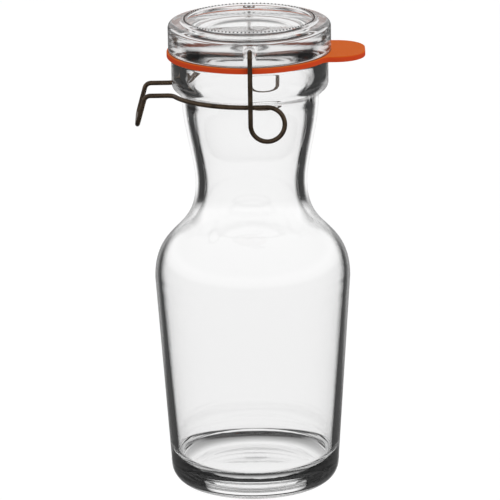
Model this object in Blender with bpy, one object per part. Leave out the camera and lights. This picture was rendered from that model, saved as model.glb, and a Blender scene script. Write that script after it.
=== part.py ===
"""Clip-top glass carafe, about one litre.

Four pieces: a glass bottle with a thick sealing collar, a glass lid, a flat rubber gasket with a pull tab, and
one sprung wire that hooks into the lid's sides and closes under the collar. Metres, +Z up. The origin is on the
bottle's axis at the surface it stands on; the pull tab points to +X and the finger lever to -X.
"""
import math

import bmesh
import bpy
from mathutils import Vector

# Bottle, outside
BODY_WIDEST_HEIGHT = 0.1140
SHOULDER_RISE = 0.0520
NECK_RISE = 0.0477
COLLAR_UNDERSIDE = 0.0069
COLLAR_FACE = 0.0140
HEEL_ROUNDING = 0.0105
BODY_RADIUS = 0.0521
HEEL_RADIUS = 0.0450
WAIST_RADIUS = 0.0297
NECK_TOP_RADIUS = 0.0364
COLLAR_PROUD = 0.0051
COLLAR_LOWER_ROUNDING = 0.0042
RIM_ROUNDING = 0.0014

# Bottle, inside
MOUTH_WALL = 0.0070
MOUTH_ROUNDING = 0.0030
MOUTH_DEPTH = 0.0084
FUNNEL_DROP = 0.0185
NECK_WALL = 0.0061
WAIST_WALL = 0.0051
BODY_WALL = 0.0033
LOWER_WALL = 0.0043
INNER_SHOULDER_DROP = 0.0015
FLOOR_THICKNESS = 0.0084
FLOOR_CORNER_ROUNDING = 0.0120
FLOOR_CORNER_RISE = 0.0008

# Bottle, underneath
PUNT_HEIGHT = 0.0010
BEARING_RING_WIDTH = 0.0042

# How far the shoulder's, neck's and funnel's curves hold their upright ends, as shares of their height
SHOULDER_HANDLE_SHARES = (0.56, 0.57)
NECK_HANDLE_SHARES = (0.26, 0.35)
FUNNEL_HANDLE_SHARES = (0.45, 0.45)

# Gasket
GASKET_THICKNESS = 0.0026
GASKET_OVERHANG = 0.0024
GASKET_HOLE_FIT = 0.0012
TAB_PROUD = 0.0171
TAB_HALF_WIDTH = 0.0195
TAB_CORNER = 0.0155
TAB_ROOT_FILLET = 0.0050
SEAT_GAP = 0.0003

# Lid
LID_OVERHANG = 0.0016
LID_HEIGHT = 0.0175
LID_SHOULDER_ROUNDING = 0.0032
LID_LOWER_ROUNDING = 0.0012
BEAD_INSET = 0.0061
BEAD_HEIGHT = 0.0019
BEAD_ROUNDING = 0.0024
BEAD_FLAT = 0.0006
LID_RECESS_DEPTH = 0.0022
LID_RECESS_SLOPE = 0.0018
LID_RECESS_ROUNDING = 0.0010
PLUG_CLEARANCE = 0.0008
PLUG_DEPTH = 0.0030
PLUG_FOOT_WIDTH = 0.0012
PLUG_ROUNDING = 0.0015
LID_HOLLOW_DEPTH = 0.0059
PIVOT_RISE = 0.0081
DIMPLE_RADIUS = 0.0034
DIMPLE_CENTRE_PROUD = 0.0006

# Wire clip
WIRE_RADIUS = 0.00125
WIRE_CLEARANCE = 0.00035
WIRE_CROSSING_GAP = 0.0003
PIN_TIP_GAP = 0.0003
PIN_BEND = 0.0026
HOOK_DROP = 0.0038
LOOP_RADIUS = 0.0089
ARM_HALF_SPACING = 0.0143
ARM_ROOT_BEND = 0.0045
LEVER_REACH = 0.0610
LEVER_DROP = 0.0160
LEVER_BEND = 0.0035
LEVER_CORNER = 0.0035
LEVER_LEAN = math.radians(15.5)

# How finely the round shapes are drawn
SEGMENTS = 56
HOLLOW_STEPS = 10
WIRE_BEVEL_RESOLUTION = 2
MERGE_DISTANCE = 0.00001

# Places worked out from the sizes above
WAIST_HEIGHT = BODY_WIDEST_HEIGHT + SHOULDER_RISE
NECK_TOP_HEIGHT = WAIST_HEIGHT + NECK_RISE
RIM_HEIGHT = NECK_TOP_HEIGHT + COLLAR_UNDERSIDE + COLLAR_FACE
COLLAR_RADIUS = NECK_TOP_RADIUS + COLLAR_PROUD
BORE_RADIUS = NECK_TOP_RADIUS - NECK_WALL
MOUTH_RADIUS = COLLAR_RADIUS - MOUTH_WALL
FUNNEL_TOP_HEIGHT = RIM_HEIGHT - MOUTH_DEPTH
FUNNEL_FOOT_HEIGHT = FUNNEL_TOP_HEIGHT - FUNNEL_DROP
GASKET_BASE = RIM_HEIGHT + SEAT_GAP
LID_SEAT = GASKET_BASE + GASKET_THICKNESS + SEAT_GAP
PLUG_RADIUS = MOUTH_RADIUS - PLUG_CLEARANCE
GASKET_HOLE_RADIUS = PLUG_RADIUS + GASKET_HOLE_FIT
GASKET_RADIUS = COLLAR_RADIUS + GASKET_OVERHANG
TAB_REACH = GASKET_RADIUS + TAB_PROUD
LID_RADIUS = COLLAR_RADIUS + LID_OVERHANG
BEAD_RADIUS = LID_RADIUS - BEAD_INSET
LID_RECESS_RADIUS = BEAD_RADIUS - BEAD_ROUNDING - BEAD_FLAT - LID_RECESS_ROUNDING
PIVOT_HEIGHT = LID_SEAT + PIVOT_RISE


def arc(centre, radius, start, stop, steps):
    """Points on a circle from one angle to another, both ends included, angles in degrees."""
    points = []
    for step in range(steps + 1):
        angle = math.radians(start + (stop - start) * step / steps)
        points.append((centre[0] + radius * math.cos(angle), centre[1] + radius * math.sin(angle)))
    return points


def upright_curve(low, high, shares, steps):
    """A cubic curve from low to high whose two ends both stand upright, both ends included."""
    rise = high[1] - low[1]
    low_handle = (low[0], low[1] + shares[0] * rise)
    high_handle = (high[0], high[1] - shares[1] * rise)
    points = []
    for step in range(steps + 1):
        t = step / steps
        weights = ((1 - t) ** 3, 3 * t * (1 - t) ** 2, 3 * t * t * (1 - t), t ** 3)
        corners = (low, low_handle, high_handle, high)
        points.append(tuple(sum(w * c[axis] for w, c in zip(weights, corners)) for axis in (0, 1)))
    return points


def principled(name, colour, roughness, metallic=0.0, transmission=0.0):
    """A material with one Principled shader."""
    material = bpy.data.materials.new(name)
    material.use_nodes = True
    shader = material.node_tree.nodes["Principled BSDF"]
    shader.inputs["Base Color"].default_value = (*colour, 1.0)
    shader.inputs["Roughness"].default_value = roughness
    shader.inputs["Metallic"].default_value = metallic
    shader.inputs["Transmission Weight"].default_value = transmission
    return material


def turned(name, profile, height, material):
    """A solid of revolution from (radius, height) points that start and end on the axis."""
    mesh = bpy.data.meshes.new(name)
    shape = bmesh.new()
    chain = [shape.verts.new((radius, 0, z)) for radius, z in profile]
    edges = [shape.edges.new(pair) for pair in zip(chain, chain[1:])]
    bmesh.ops.spin(shape, geom=chain + edges, cent=(0, 0, 0), axis=(0, 0, 1), angle=math.tau, steps=SEGMENTS,
                   use_merge=True)
    bmesh.ops.remove_doubles(shape, verts=shape.verts, dist=MERGE_DISTANCE)
    bmesh.ops.recalc_face_normals(shape, faces=shape.faces)
    shape.to_mesh(mesh)
    shape.free()
    mesh.shade_smooth()
    mesh.set_sharp_from_angle(angle=math.radians(35))
    mesh.materials.append(material)
    piece = bpy.data.objects.new(name, mesh)
    piece.location = (0, 0, height)
    bpy.context.collection.objects.link(piece)
    return piece


def bottle_outside():
    """The outer profile from the foot's centre up to the mouth's edge."""
    bearing_outer = HEEL_RADIUS - HEEL_ROUNDING
    bearing_inner = bearing_outer - BEARING_RING_WIDTH
    underside = punt_profile(bearing_inner)
    heel = arc((bearing_outer, HEEL_ROUNDING), HEEL_ROUNDING, -90, 0, 6)
    shoulder = upright_curve((BODY_RADIUS, BODY_WIDEST_HEIGHT), (WAIST_RADIUS, WAIST_HEIGHT),
                             SHOULDER_HANDLE_SHARES, 10)
    neck = upright_curve((WAIST_RADIUS, WAIST_HEIGHT), (NECK_TOP_RADIUS, NECK_TOP_HEIGHT),
                         NECK_HANDLE_SHARES, 5)
    rounding = COLLAR_LOWER_ROUNDING
    face_foot = RIM_HEIGHT - COLLAR_FACE
    collar_foot = arc((COLLAR_RADIUS - rounding, face_foot), rounding, -55, 0, 4)
    collar_edge = arc((COLLAR_RADIUS - RIM_ROUNDING, RIM_HEIGHT - RIM_ROUNDING), RIM_ROUNDING, 0, 90, 3)
    mouth_edge = arc((MOUTH_RADIUS + MOUTH_ROUNDING, RIM_HEIGHT - MOUTH_ROUNDING), MOUTH_ROUNDING, 90, 180, 3)
    return underside + heel + shoulder + neck[1:] + collar_foot + collar_edge + mouth_edge


def punt_profile(bearing_inner):
    """The shallow hollow under the foot, from its centre out to the bearing ring."""
    steps = 4
    points = []
    for step in range(steps + 1):
        share = step / steps
        points.append((bearing_inner * share, PUNT_HEIGHT * (1 + math.cos(math.pi * share)) / 2))
    return points


def bottle_inside():
    """The inner profile from the top of the mouth's funnel down to the floor's centre."""
    bore = (BORE_RADIUS, FUNNEL_FOOT_HEIGHT)
    waist = (WAIST_RADIUS - WAIST_WALL, WAIST_HEIGHT)
    widest = (BODY_RADIUS - BODY_WALL, BODY_WIDEST_HEIGHT - INNER_SHOULDER_DROP)
    funnel = upright_curve(bore, (MOUTH_RADIUS, FUNNEL_TOP_HEIGHT), FUNNEL_HANDLE_SHARES, 6)
    neck = upright_curve(waist, bore, NECK_HANDLE_SHARES, 5)
    shoulder = upright_curve(widest, waist, SHOULDER_HANDLE_SHARES, 10)
    floor = PUNT_HEIGHT + FLOOR_THICKNESS
    corner_radius = HEEL_RADIUS - LOWER_WALL
    corner_foot = floor + FLOOR_CORNER_RISE
    corner = arc((corner_radius - FLOOR_CORNER_ROUNDING, corner_foot + FLOOR_CORNER_ROUNDING),
                 FLOOR_CORNER_ROUNDING, 0, -90, 5)
    return funnel[::-1] + neck[-2::-1] + shoulder[-2::-1] + corner + [(0, floor)]


def make_bottle(material):
    """Foot, body, shoulder, neck and collar in one piece of glass."""
    return turned("bottle", bottle_outside() + bottle_inside(), 0, material)


def lid_profile():
    """The lid's profile from the middle of its underside to the middle of its recess; zero is its seat."""
    hollow_radius = PLUG_RADIUS - PLUG_ROUNDING - PLUG_FOOT_WIDTH
    hollow = []
    for step in range(HOLLOW_STEPS + 1):
        share = step / HOLLOW_STEPS
        hollow.append((hollow_radius * math.sqrt(share), LID_HOLLOW_DEPTH * (1 - share ** 2) - PLUG_DEPTH))
    plug_outer = arc((PLUG_RADIUS - PLUG_ROUNDING, PLUG_ROUNDING - PLUG_DEPTH), PLUG_ROUNDING, -90, 0, 3)
    lower = arc((LID_RADIUS - LID_LOWER_ROUNDING, LID_LOWER_ROUNDING), LID_LOWER_ROUNDING, -90, 0, 5)
    shoulder = arc((LID_RADIUS - LID_SHOULDER_ROUNDING, LID_HEIGHT - BEAD_HEIGHT - LID_SHOULDER_ROUNDING),
                   LID_SHOULDER_ROUNDING, 0, 90, 5)
    bead_foot = math.degrees(math.asin(1 - BEAD_HEIGHT / BEAD_ROUNDING))
    bead = arc((BEAD_RADIUS - BEAD_ROUNDING, LID_HEIGHT - BEAD_ROUNDING), BEAD_ROUNDING, bead_foot, 90, 5)
    edge = arc((LID_RECESS_RADIUS + LID_RECESS_ROUNDING, LID_HEIGHT - LID_RECESS_ROUNDING),
               LID_RECESS_ROUNDING, 90, 180, 3)
    floor = LID_HEIGHT - LID_RECESS_DEPTH
    floor_edge = (LID_RECESS_RADIUS - LID_RECESS_SLOPE, floor)
    underside = hollow + plug_outer + [(PLUG_RADIUS, 0)]
    return underside + lower + shoulder + bead + edge + [floor_edge, (0, floor)]


def make_lid(material):
    """The glass lid, with a round dimple in its side at front and back for the wire's ends."""
    lid = turned("lid", lid_profile(), LID_SEAT, material)
    for side in (-1, 1):
        mesh = bpy.data.meshes.new("dimple_cutter")
        shape = bmesh.new()
        bmesh.ops.create_uvsphere(shape, u_segments=24, v_segments=12, radius=DIMPLE_RADIUS)
        shape.to_mesh(mesh)
        shape.free()
        cutter = bpy.data.objects.new("dimple_cutter", mesh)
        cutter.location = (0, side * (LID_RADIUS + DIMPLE_CENTRE_PROUD), PIVOT_HEIGHT)
        cutter.hide_render = True
        cutter.display_type = "WIRE"
        bpy.context.collection.objects.link(cutter)
        cut = lid.modifiers.new("dimple", "BOOLEAN")
        cut.operation = "DIFFERENCE"
        cut.object = cutter
    return lid


def gasket_outline():
    """The ring's outer edge with the pull tab at +X, anticlockwise from the tab's lower root."""
    fillet_y = TAB_HALF_WIDTH + TAB_ROOT_FILLET
    fillet_x = math.sqrt((GASKET_RADIUS + TAB_ROOT_FILLET) ** 2 - fillet_y ** 2)
    root_angle = math.degrees(math.atan2(fillet_y, fillet_x))
    corner_x = TAB_REACH - TAB_CORNER
    corner_y = TAB_HALF_WIDTH - TAB_CORNER
    lower_fillet = arc((fillet_x, -fillet_y), TAB_ROOT_FILLET, 180 - root_angle, 90, 4)
    lower_corner = arc((corner_x, -corner_y), TAB_CORNER, -90, 0, 8)
    upper_corner = arc((corner_x, corner_y), TAB_CORNER, 0, 90, 8)
    upper_fillet = arc((fillet_x, fillet_y), TAB_ROOT_FILLET, -90, root_angle - 180, 4)
    ring = arc((0, 0), GASKET_RADIUS, root_angle, 360 - root_angle, SEGMENTS - 10)
    return lower_fillet + lower_corner + upper_corner + upper_fillet + ring[1:-1]


def make_gasket(material):
    """The flat rubber ring and its tab, filled between its outline and the hole round the lid's plug."""
    curve = bpy.data.curves.new("gasket", "CURVE")
    curve.dimensions = "2D"
    curve.fill_mode = "BOTH"
    curve.extrude = GASKET_THICKNESS / 2
    hole = arc((0, 0), GASKET_HOLE_RADIUS, 0, 360, SEGMENTS)[:-1]
    for outline in (gasket_outline(), hole):
        spline = curve.splines.new("POLY")
        spline.points.add(len(outline) - 1)
        spline.use_cyclic_u = True
        for point, place in zip(spline.points, outline):
            point.co = (*place, 0, 1)
    curve.materials.append(material)
    gasket = bpy.data.objects.new("gasket", curve)
    gasket.location = (0, 0, GASKET_BASE + GASKET_THICKNESS / 2)
    bpy.context.collection.objects.link(gasket)
    return gasket


def bend(start, heading, towards, radius, angle, steps):
    """A bend in a wire from start, heading one way and turning towards another: its points and last heading."""
    points = []
    for step in range(1, steps + 1):
        turn = angle * step / steps
        points.append(start + heading * radius * math.sin(turn) + towards * radius * (1 - math.cos(turn)))
    return points, heading * math.cos(angle) + towards * math.sin(angle)


def front_wire():
    """The front half of the clip's centre line, from the pin in the lid to the middle of the lever's bar.

    Zero is the pivot's height on the bottle's axis, and the front is -Y.
    """
    ring_radius = COLLAR_RADIUS + WIRE_CLEARANCE + WIRE_RADIUS
    past_gasket = GASKET_RADIUS + WIRE_CLEARANCE + WIRE_RADIUS
    upright_out = max(ring_radius + 2 * WIRE_RADIUS + WIRE_CROSSING_GAP, past_gasket)
    ring_height = RIM_HEIGHT - COLLAR_FACE - HOOK_DROP - PIVOT_HEIGHT
    loop_height = ring_height - LOOP_RADIUS
    dimple_bottom = LID_RADIUS + DIMPLE_CENTRE_PROUD - math.sqrt(DIMPLE_RADIUS ** 2 - WIRE_RADIUS ** 2)
    pin_tip = dimple_bottom + PIN_TIP_GAP
    out, down, left = Vector((0, -1, 0)), Vector((0, 0, -1)), Vector((-1, 0, 0))

    path = [out * pin_tip, out * (upright_out - PIN_BEND)]
    path += bend(path[-1], out, down, PIN_BEND, math.radians(90), 4)[0]

    # Three quarters of a turn, which moves in behind the upright as it goes
    loop = arc((LOOP_RADIUS, loop_height), LOOP_RADIUS, 180, 450, 18)
    for step, (x, z) in enumerate(loop):
        share = step / (len(loop) - 1)
        ease = share * share * (3 - 2 * share)
        path.append(Vector((x, -(upright_out + (ring_radius - upright_out) * ease), z)))

    # Round the collar, then a reverse bend into the straight arm
    bend_y = ARM_HALF_SPACING + ARM_ROOT_BEND
    bend_x = math.sqrt((ring_radius + ARM_ROOT_BEND) ** 2 - bend_y ** 2)
    leave = math.degrees(math.atan2(bend_y, bend_x))
    ring = arc((0, 0), ring_radius, -90, leave - 180, 14)
    root = arc((-bend_x, -bend_y), ARM_ROOT_BEND, leave, 90, 5)
    path += [Vector((x, y, ring_height)) for x, y in ring + root[1:]]

    # The arm turns down into the leaning leg, and the leg turns back into the lever's bar
    turn = math.radians(90) - LEVER_LEAN
    bend_reach = LEVER_BEND * math.sin(turn)
    bend_fall = LEVER_BEND * (1 - math.cos(turn))
    leg_fall = LEVER_DROP - bend_fall
    bar_x = -(LEVER_REACH - WIRE_RADIUS)
    arm_end = bar_x + leg_fall * math.tan(LEVER_LEAN) + bend_reach
    path.append(Vector((arm_end, -ARM_HALF_SPACING, ring_height)))
    points, heading = bend(path[-1], left, down, LEVER_BEND, turn, 5)
    path += points
    leg_length = leg_fall / math.cos(LEVER_LEAN) - LEVER_CORNER
    path.append(path[-1] + heading * leg_length)
    return path + bend(path[-1], heading, -out, LEVER_CORNER, math.radians(90), 5)[0]


def make_wire_clip(material):
    """One length of wire: the front half's centre line and its mirror image at the back."""
    front = front_wire()
    back = [Vector((p.x, -p.y, p.z)) for p in reversed(front)]
    curve = bpy.data.curves.new("wire_clip", "CURVE")
    curve.dimensions = "3D"
    curve.bevel_depth = WIRE_RADIUS
    curve.bevel_resolution = WIRE_BEVEL_RESOLUTION
    curve.use_fill_caps = True
    spline = curve.splines.new("POLY")
    path = front + back
    spline.points.add(len(path) - 1)
    for point, place in zip(spline.points, path):
        point.co = (*place, 1)
    spline.use_smooth = True
    curve.materials.append(material)
    clip = bpy.data.objects.new("wire_clip", curve)
    clip.location = (0, 0, PIVOT_HEIGHT)
    bpy.context.collection.objects.link(clip)
    return clip


def main():
    """Build the four pieces."""
    for old in list(bpy.data.objects):
        bpy.data.objects.remove(old, do_unlink=True)
    make_bottle(principled("clear_glass", (0.93, 0.95, 0.94), 0.03, transmission=1.0))
    make_lid(principled("lid_glass", (0.92, 0.94, 0.93), 0.04, transmission=1.0))
    make_gasket(principled("orange_rubber", (0.72, 0.13, 0.03), 0.55))
    make_wire_clip(principled("bronzed_wire", (0.09, 0.06, 0.04), 0.38, metallic=0.9))


main()
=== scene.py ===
# %% [markdown]
# # A clip-top glass carafe
# This is a carafe of about one litre: a glass bottle, a glass lid, a flat rubber gasket and one sprung
# wire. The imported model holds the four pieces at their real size, and this script gives them their looks:
# finer glass, rounded rubber, swept wire, and a white studio that draws the edges of clear glass dark.

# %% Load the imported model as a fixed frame
import math
from collections import namedtuple

import bmesh
import bpy
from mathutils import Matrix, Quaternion, Vector


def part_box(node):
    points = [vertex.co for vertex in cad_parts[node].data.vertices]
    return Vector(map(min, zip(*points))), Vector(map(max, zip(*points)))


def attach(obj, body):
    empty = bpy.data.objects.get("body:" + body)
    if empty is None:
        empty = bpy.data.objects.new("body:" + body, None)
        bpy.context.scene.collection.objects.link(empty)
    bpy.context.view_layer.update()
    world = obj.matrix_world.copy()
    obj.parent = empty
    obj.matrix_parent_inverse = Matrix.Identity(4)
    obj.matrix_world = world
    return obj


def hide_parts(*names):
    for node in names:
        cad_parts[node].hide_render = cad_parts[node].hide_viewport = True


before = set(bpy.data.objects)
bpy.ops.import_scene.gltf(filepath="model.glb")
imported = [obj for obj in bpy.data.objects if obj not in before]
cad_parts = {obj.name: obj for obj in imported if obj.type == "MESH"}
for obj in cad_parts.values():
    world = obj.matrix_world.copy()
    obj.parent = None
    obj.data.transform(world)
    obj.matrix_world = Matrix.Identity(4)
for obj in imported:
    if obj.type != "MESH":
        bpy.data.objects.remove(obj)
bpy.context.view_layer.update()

# %% [markdown]
# ## Node trees written as sums
# A material or a shape in Blender can be a tree of nodes. Adding each node by hand makes a long script that
# is hard to read. Here one small class stands for a node's output, so that a sum on it adds the Math node.
# A second class stands for the tree and adds any other node. The two serve materials, the world and
# Geometry Nodes alike.

# %% A socket that does arithmetic
class Socket:
    """One output of a node. A sum on it adds a Math node to the same tree."""

    def __init__(self, graph, output):
        self.graph = graph
        self.output = output

    def other(self, key):
        """Another output of the same node, by its name or its number."""
        return Socket(self.graph, self.output.node.outputs[key])

    def __add__(self, value):
        return self.graph.math("ADD", self, value)

    def __sub__(self, value):
        return self.graph.math("SUBTRACT", self, value)

    def __rsub__(self, value):
        return self.graph.math("SUBTRACT", value, self)

    def __mul__(self, value):
        return self.graph.math("MULTIPLY", self, value)

    def __truediv__(self, value):
        return self.graph.math("DIVIDE", self, value)

    def __gt__(self, value):
        return self.graph.math("GREATER_THAN", self, value)

    def __lt__(self, value):
        return self.graph.math("LESS_THAN", self, value)

    __radd__ = __add__
    __rmul__ = __mul__


print("a socket understands + - * / > <")

# %% A tree that is being built
MIX_SHARE, MIX_FIRST, MIX_SECOND, MIX_COLOUR = 0, 6, 7, 2


class Graph:
    """An empty node tree. One method adds any node to it, and the last five are short forms of it."""

    def __init__(self, tree):
        self.tree = tree
        tree.nodes.clear()

    def add(self, kind, settings=None, sockets=None):
        """A node of this kind: its settings are made first, then its sockets get their numbers or links."""
        node = self.tree.nodes.new(kind)
        for name, value in (settings or {}).items():
            if name == "stops":
                self.set_stops(node.color_ramp.elements, value)
            else:
                setattr(node, name, value)
        for key, value in (sockets or {}).items():
            if isinstance(value, Socket):
                self.tree.links.new(value.output, node.inputs[key])
            else:
                node.inputs[key].default_value = value
        return Socket(self, node.outputs[0]) if node.outputs else None

    def set_stops(self, elements, stops):
        """Gives a colour ramp these (place, grey or colour) stops."""
        while len(elements) < len(stops):
            elements.new(1.0)
        for element, (place, colour) in zip(elements, stops):
            element.position = place
            element.color = (*colour, 1) if isinstance(colour, tuple) else (colour, colour, colour, 1)

    def math(self, operation, *values):
        """A Math node on these sockets and numbers."""
        return self.add("ShaderNodeMath", {"operation": operation}, dict(enumerate(values)))

    def ramp(self, value, stops):
        """What the stops of a colour ramp say at this value."""
        return self.add("ShaderNodeValToRGB", {"stops": stops}, {"Fac": value})

    def between(self, value, low, high, start=0.0, stop=1.0):
        """Goes from start to stop while the value goes from low to high, and no further."""
        return self.add("ShaderNodeMapRange", {"clamp": True}, {
            "Value": value, "From Min": low, "From Max": high, "To Min": start, "To Max": stop})

    def noise(self, place, scale, detail):
        """A cloudy pattern between 0 and 1."""
        return self.add("ShaderNodeTexNoise", None, {"Vector": place, "Scale": scale, "Detail": detail})

    def blend(self, share, first, second):
        """The first colour where the share is 0 and the second where it is 1, by a Mix node."""
        mixed = self.add("ShaderNodeMix", {"data_type": "RGBA"}, {
            MIX_SHARE: share, MIX_FIRST: first, MIX_SECOND: second})
        return mixed.other(MIX_COLOUR)


print("a graph has short forms for Math, Color Ramp, Map Range, Noise and Mix")

# %% [markdown]
# ## The camera
# The photograph looks down on the carafe by about sixteen degrees from far away, through a long lens, so
# upright lines stay nearly parallel. The camera is also turned a little about its own axis, as a hand-set
# camera often is.

# %% Set the camera
CAMERA_PLACE = Vector((0, -2.5, 0.83))
CAMERA_TARGET = Vector((-0.0013, 0, 0.1278))
CAMERA_ROLL = math.radians(-0.83)
LENS_MM = 350.2
NEAREST_SEEN = 0.1
FARTHEST_SEEN = 50

camera_data = bpy.data.cameras.new("photo_camera")
camera_data.lens = LENS_MM
camera_data.clip_start = NEAREST_SEEN
camera_data.clip_end = FARTHEST_SEEN
camera = bpy.data.objects.new("photo_camera", camera_data)
camera.location = CAMERA_PLACE
camera.rotation_mode = "QUATERNION"
aim = (CAMERA_TARGET - CAMERA_PLACE).to_track_quat("-Z", "Y")
camera.rotation_quaternion = aim @ Quaternion((0, 0, 1), CAMERA_ROLL)
bpy.context.scene.collection.objects.link(camera)
bpy.context.scene.camera = camera
bpy.context.scene.view_settings.view_transform = "Standard"
print("camera distance:", round((CAMERA_TARGET - CAMERA_PLACE).length, 3), "m")

# %% [markdown]
# ## Clear glass
# Clear glass has no colour of its own to see: it shows what the light meets after it bends. Each glass here
# is one Principled shader that lets all light through, with the faint waves of pressed glass as a bump.
# Light that comes from a lamp, or that lights a dull surface, goes straight through instead, since a bent
# path to a lamp can't be found by chance.
#
# Two things are added, and both follow how far the surface has turned away from the eye, which Layer Weight
# gives. At the outermost edge of a round wall the light is turned and turned back again, so some of the
# white behind it shows there. And the thick glass of the foot, the lid's side and the small dots shows dark
# surroundings, which are painted as a shade on the surface that the eye meets first.

# %% Helpers for materials
def new_material(name):
    """A material, the graph of its nodes and the place on its surface."""
    material = bpy.data.materials.new(name)
    material.use_nodes = True
    graph = Graph(material.node_tree)
    return material, graph, graph.add("ShaderNodeTexCoord").other("Object")


def upward_part(graph, vector):
    """How high a place is, or how far a direction points up."""
    return graph.add("ShaderNodeSeparateXYZ", None, {"Vector": vector}).other("Z")


def distance_out(graph, place):
    """How far a place is from the upright axis."""
    parts = graph.add("ShaderNodeSeparateXYZ", None, {"Vector": place})
    return graph.math("SQRT", parts * parts + parts.other("Y") * parts.other("Y"))


print("patterns follow the Object coordinates, so they stay on a piece when it moves")

# %% The waves in the glass and its pale edges
SWELL_SCALE = 28.0
STREAK_SCALES = (30.0, 30.0, 420.0)
WAVE_DEPTH = 0.00002
RAMP_HEIGHT = 0.25
PALE_WIDTH = 0.13
OUTLINE_FACING = (0.84, 0.94)
OUTLINE_LEVEL = 0.85

# Stops up the glass, from 0 at the foot to 1 at RAMP_HEIGHT: where an edge goes pale, and how pale.
PaleEdge = namedtuple("PaleEdge", "starts levels")


def pressed_waves(graph, place, streak_share):
    """A bump of slow swells, and of fine streaks that lie level, in the share given."""
    stretched = graph.add("ShaderNodeVectorMath", {"operation": "MULTIPLY"}, {0: place, 1: STREAK_SCALES})
    streaks = graph.noise(stretched, scale=1.0, detail=2.0)
    waves = graph.noise(place, SWELL_SCALE, detail=1.0) + streaks * streak_share
    return graph.add("ShaderNodeBump", None, {"Strength": 1.0, "Distance": WAVE_DEPTH, "Height": waves})


def pale_share(graph, place, facing, edge):
    """How much of the white behind the glass shows. The very outline stays a little darker."""
    upward = upward_part(graph, place) / RAMP_HEIGHT
    start = graph.ramp(upward, edge.starts)
    pale = graph.between(facing, start, start + PALE_WIDTH)
    outline = graph.between(facing, *OUTLINE_FACING, 1.0, OUTLINE_LEVEL)
    return pale * outline * graph.ramp(upward, edge.levels)


print("an edge goes pale over", PALE_WIDTH, "of the turn from the eye")

# %% The painted shade in thick glass
# A fine ripple makes the painted shade uneven. On the foot it ends above CLEAR_FOOT_HEIGHT and is lighter
# where the glass turns under, and just above the mould's seam it is dark even where the glass faces the eye.
RIPPLE_SCALE = 110.0
RIPPLE_RISE = 0.003
RIPPLE_TURN = 0.06
CLEAR_FOOT_HEIGHT = 0.0035
TURNED_UNDER_HEIGHT = 0.012
TURNED_UNDER_STOPS = ((0.32, 0.0), (0.37, 0.28), (0.70, 0.06), (0.88, 0.0))
SEAM_HEIGHT = 0.0118
SEAM_FADE = 0.0006
SEAM_TURN = 0.3
SEAM_SHADE_TOP = 0.03

# The stops give the tone, from 0 where the glass faces the eye to 1 where it is turned away. The shade is
# absent above the first height and full below the second. Lean is how much higher it reaches where the
# glass turns away, and it lies only outside the radius.
Shade = namedtuple("Shade", "stops heights lean radius")


def shaded_tone(graph, place, facing, seen_first, shade, glass_tone):
    """The glass's colour: its own tone, and the painted shade's tone where the shade lies."""
    height = upward_part(graph, place)
    ripple = graph.noise(place, RIPPLE_SCALE, detail=2.0) - 0.5
    reach = height - facing * shade.lean + ripple * RIPPLE_RISE
    amount = graph.between(reach, *shade.heights) * seen_first
    amount = amount * (distance_out(graph, place) > shade.radius) * (height > CLEAR_FOOT_HEIGHT)
    over_seam = graph.between(height, SEAM_HEIGHT, SEAM_HEIGHT + SEAM_FADE, 0.0, SEAM_TURN)
    turned_under = graph.ramp(height / TURNED_UNDER_HEIGHT, TURNED_UNDER_STOPS)
    turned = facing + ripple * RIPPLE_TURN + over_seam * (height < SEAM_SHADE_TOP) - turned_under
    return glass_tone - amount * (glass_tone - graph.ramp(turned, shade.stops))


print("the mould's seam lies", round(SEAM_HEIGHT * 1000, 1), "mm up")

# %% Glass materials
GLASS_IOR = 1.51
STRAIGHT_COLOUR = (0.97, 0.97, 0.97, 1)


def glass(name, edge, shade, glass_tone, streak_share, roughness=0.0):
    """Clear glass with pale edges and a painted shade. Without a shade its tone is the same all over."""
    material, graph, place = new_material(name)
    facing = graph.add("ShaderNodeLayerWeight", None, {"Blend": 0.5}).other("Facing")
    path = graph.add("ShaderNodeLightPath")
    colour = (glass_tone, glass_tone, glass_tone, 1)
    if shade:
        colour = shaded_tone(graph, place, facing, path.other("Is Camera Ray"), shade, glass_tone)
    clear = graph.add("ShaderNodeBsdfPrincipled", None, {
        "Base Color": colour, "Roughness": roughness, "IOR": GLASS_IOR, "Transmission Weight": 1.0,
        "Normal": pressed_waves(graph, place, streak_share)})
    through = graph.add("ShaderNodeBsdfTransparent", None, {"Color": STRAIGHT_COLOUR})
    lamp_light = graph.math("MAXIMUM", path.other("Is Shadow Ray"), path.other("Is Diffuse Ray"))
    straight = graph.math("MAXIMUM", lamp_light, pale_share(graph, place, facing, edge))
    surface = graph.add("ShaderNodeMixShader", None, {0: straight, 1: clear, 2: through})
    graph.add("ShaderNodeOutputMaterial", None, {"Surface": surface})
    return material


BOTTLE_EDGE = PaleEdge(
    starts=(
        (0.16, 0.76), (0.30, 0.70), (0.46, 0.68), (0.62, 0.62), (0.855, 0.60), (0.866, 0.47), (0.882, 0.50),
        (0.90, 0.72)),
    levels=((0.10, 0.3), (0.30, 0.45), (0.60, 0.5), (0.65, 1.0), (0.856, 1.0), (0.868, 0.45), (1.0, 0.45)))
LID_EDGE = PaleEdge(starts=((0.0, 0.88), (1.0, 0.88)), levels=((0.0, 1.0), (1.0, 1.0)))
# FOOT_SHADE, LID_SHADE and DOT_SHADE paint shade on the foot, on the lid's side and on the dots.
FOOT_SHADE = Shade(
    stops=((0.0, 1.0), (0.20, 1.0), (0.26, 0.002), (0.9, 0.001)),
    heights=(0.0144, 0.0136), lean=0.0098, radius=0.0415)
LID_SHADE = Shade(
    stops=((0.0, 0.9), (0.14, 0.7), (0.24, 0.01), (0.38, 0.01), (0.48, 0.95)),
    heights=(0.2475, 0.2445), lean=0.0, radius=0.0428)
DOT_SHADE = Shade(stops=((0.0, 0.0), (0.6, 0.002)), heights=(0.26, 0.25), lean=0.0, radius=0.0)

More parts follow.
